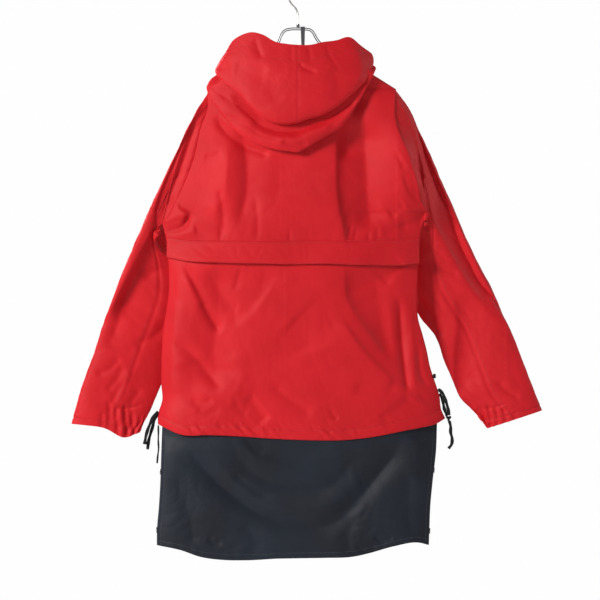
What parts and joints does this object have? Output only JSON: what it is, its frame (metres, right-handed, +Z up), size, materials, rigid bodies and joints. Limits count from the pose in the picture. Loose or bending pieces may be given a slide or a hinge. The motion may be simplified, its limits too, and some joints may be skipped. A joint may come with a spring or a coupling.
{
  "type": "anorak pullover on a wire hanger",
  "caption": "Red pullover anorak with hood thrown back, waist casing, elastic cuffs, drawcord hem and a navy tail, hanging on a double-wire hanger.",
  "frame": {"origin": "inside top of the hanger's hook, where a rail touches it", "axes": "+Z up, +X to the garment's right side as its back is looked at, -Y out of the garment's back, +Y out of its front"},
  "size_m": [0.992, 0.1312, 1.2034],
  "materials": {
    "red_shell_cloth": "plain woven nylon with a soft sheen",
    "navy_tail_cloth": "plain woven nylon, dull",
    "black_tape": "woven tape",
    "dark_grey_tape": "woven tape",
    "dark_coated_wire": "plastic-coated wire",
    "bright_steel": "bright plated steel"
  },
  "bodies": {
    "root": {"back": "red_shell_cloth", "front": "red_shell_cloth", "waist_band": "red_shell_cloth", "sleeve_left_upper": "red_shell_cloth", "sleeve_left_under": "red_shell_cloth", "sleeve_right_upper": "red_shell_cloth", "sleeve_right_under": "red_shell_cloth", "hood_left": "red_shell_cloth", "hood_right": "red_shell_cloth", "tail_back": "navy_tail_cloth", "tail_front": "navy_tail_cloth", "stud_left_upper": "bright_steel", "stud_left_lower": "bright_steel", "stud_right_upper": "bright_steel", "stud_right_lower": "bright_steel", "hanger_hook": "bright_steel", "hanger_wire": "dark_coated_wire", "hanger_collar": "dark_coated_wire", "hang_loop": "dark_grey_tape", "cord_left_front": "black_tape", "cord_left_rear": "black_tape", "cord_left_thin": "black_tape", "cord_right_outer": "black_tape", "cord_right_inner": "black_tape", "cord_right_end": "black_tape", "cord_knot": "black_tape", "cord_stop": "black_tape"}
  },
  "joints": []
}
